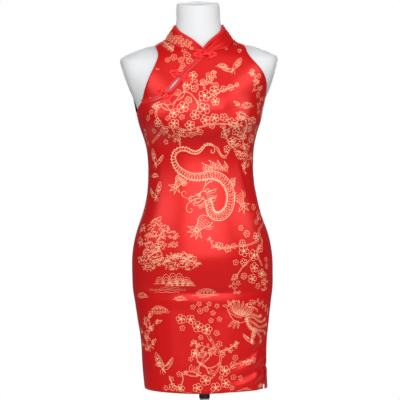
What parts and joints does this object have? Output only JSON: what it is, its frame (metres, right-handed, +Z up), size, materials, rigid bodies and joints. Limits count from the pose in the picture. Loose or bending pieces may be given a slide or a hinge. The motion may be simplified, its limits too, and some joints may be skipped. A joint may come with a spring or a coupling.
{
  "type": "cheongsam dress on a dress form",
  "caption": "Sleeveless fitted cheongsam with standing collar, diagonal front opening, three corded frogs and left hem vent, worn by a limbless dress form on a stand.",
  "frame": {"origin": "middle of the stand's underside, on the floor", "axes": "+Z up along the stand's pole, -Y to the front of the dress, +X to the wearer's left"},
  "size_m": [0.4, 0.4, 1.4896],
  "materials": {
    "satin": "red satin with gold brocade figures",
    "binding": "plain red satin bias binding",
    "cord": "red satin cord",
    "form_shell": "smooth white glass-fibre shell, satin lacquer",
    "white_coat": "white powder coat",
    "black_nylon": "black moulded nylon",
    "steel": "bright steel"
  },
  "bodies": {
    "root": {"front_panel": "satin", "yoke_panel": "satin", "back_panel": "satin", "collar_band": "satin", "collar_binding": "binding", "placket_binding_front": "binding", "placket_binding_yoke": "binding", "frog_1_loop_yoke": "cord", "frog_1_loop_front": "cord", "frog_1_knot": "cord", "frog_2_loop_yoke": "cord", "frog_2_loop_front": "cord", "frog_2_knot": "cord", "frog_3_loop_yoke": "cord", "frog_3_loop_front": "cord", "frog_3_knot": "cord", "torso": "form_shell", "base": "white_coat", "pole_tube": "white_coat", "clamp": "black_nylon", "pole_rod": "steel"}
  },
  "joints": []
}
